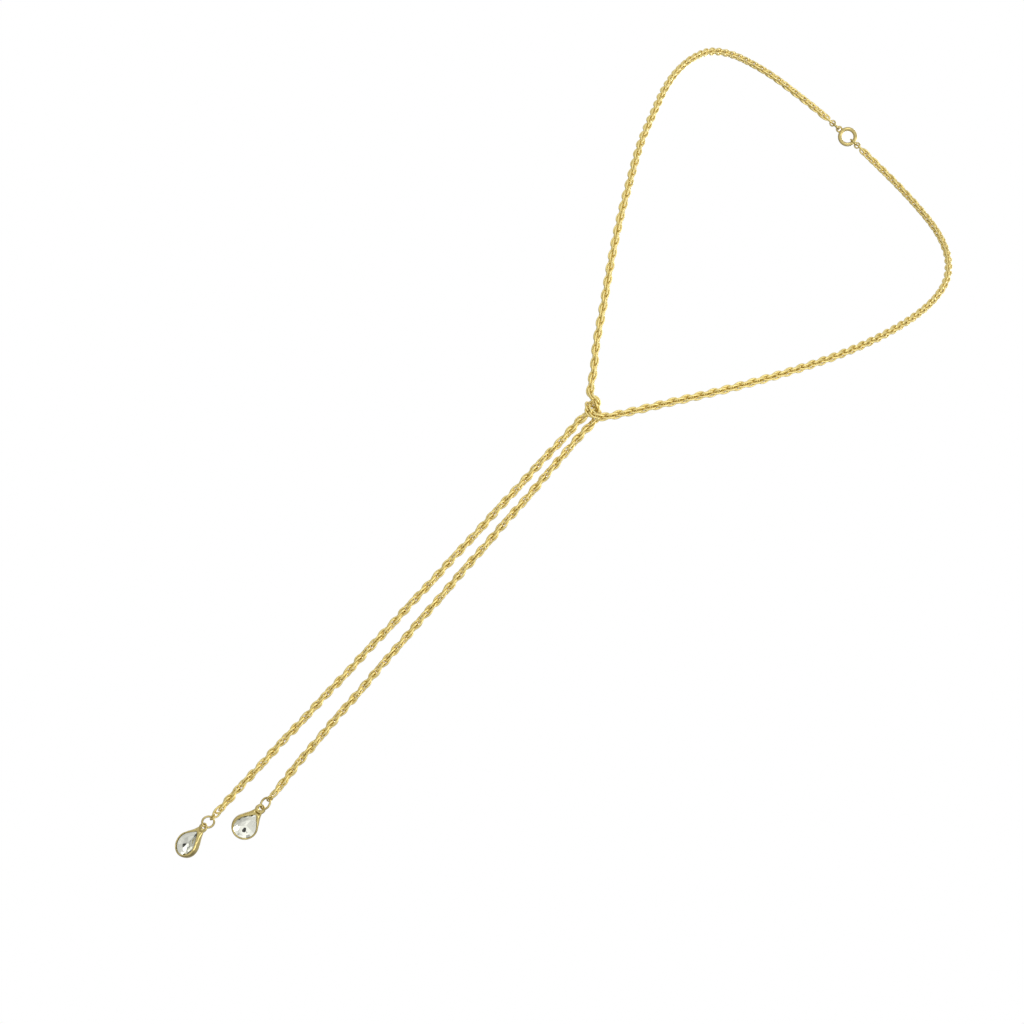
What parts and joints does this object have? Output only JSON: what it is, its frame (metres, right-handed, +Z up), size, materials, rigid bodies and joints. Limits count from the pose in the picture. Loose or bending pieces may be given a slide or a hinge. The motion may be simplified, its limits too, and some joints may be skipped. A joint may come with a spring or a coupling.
{
  "type": "drop necklace",
  "caption": "Lariat drop necklace: a knotted gold-tone rope chain loop whose two tails end in pear-shaped clear stones in bezels.",
  "frame": {"origin": "middle of the nape, where the back of the loop lies on the neck: the skin side of the clasp", "axes": "+Z up, against the hang of the two tails; -Y to the front, where the knot and the stones face; +X to the right as seen from the front"},
  "size_m": [0.1244, 0.1446, 0.3451],
  "materials": {
    "rope_chain": "polished pale gold plating",
    "gold": "polished pale gold plating",
    "setting": "polished pale gold plating",
    "crystal": "clear cut glass on a silver foil back"
  },
  "bodies": {
    "necklace": {"chain_left": "rope_chain", "chain_right": "rope_chain", "left_end_link": "gold", "right_end_link": "gold", "left_jump_ring": "gold", "right_jump_ring": "gold", "clasp": "gold", "eye_jump_ring": "gold", "catch_jump_ring": "gold", "left_back_link": "gold", "right_back_link": "gold"},
    "left_drop": {"left_setting": "setting", "left_stone": "crystal"},
    "right_drop": {"right_setting": "setting", "right_stone": "crystal"}
  },
  "joints": [
    {"name": "left_drop_swing", "type": "hinge", "parent": "necklace", "child": "left_drop", "pos_m": [-0.005, -0.137, -0.32832], "axis": [0.9272, 0.3746, 0], "range_deg": [-80, 80]},
    {"name": "right_drop_swing", "type": "hinge", "parent": "necklace", "child": "right_drop", "pos_m": [0.0052, -0.137, -0.31032], "axis": [0.6947, -0.7193, 0], "range_deg": [-80, 80]}
  ]
}
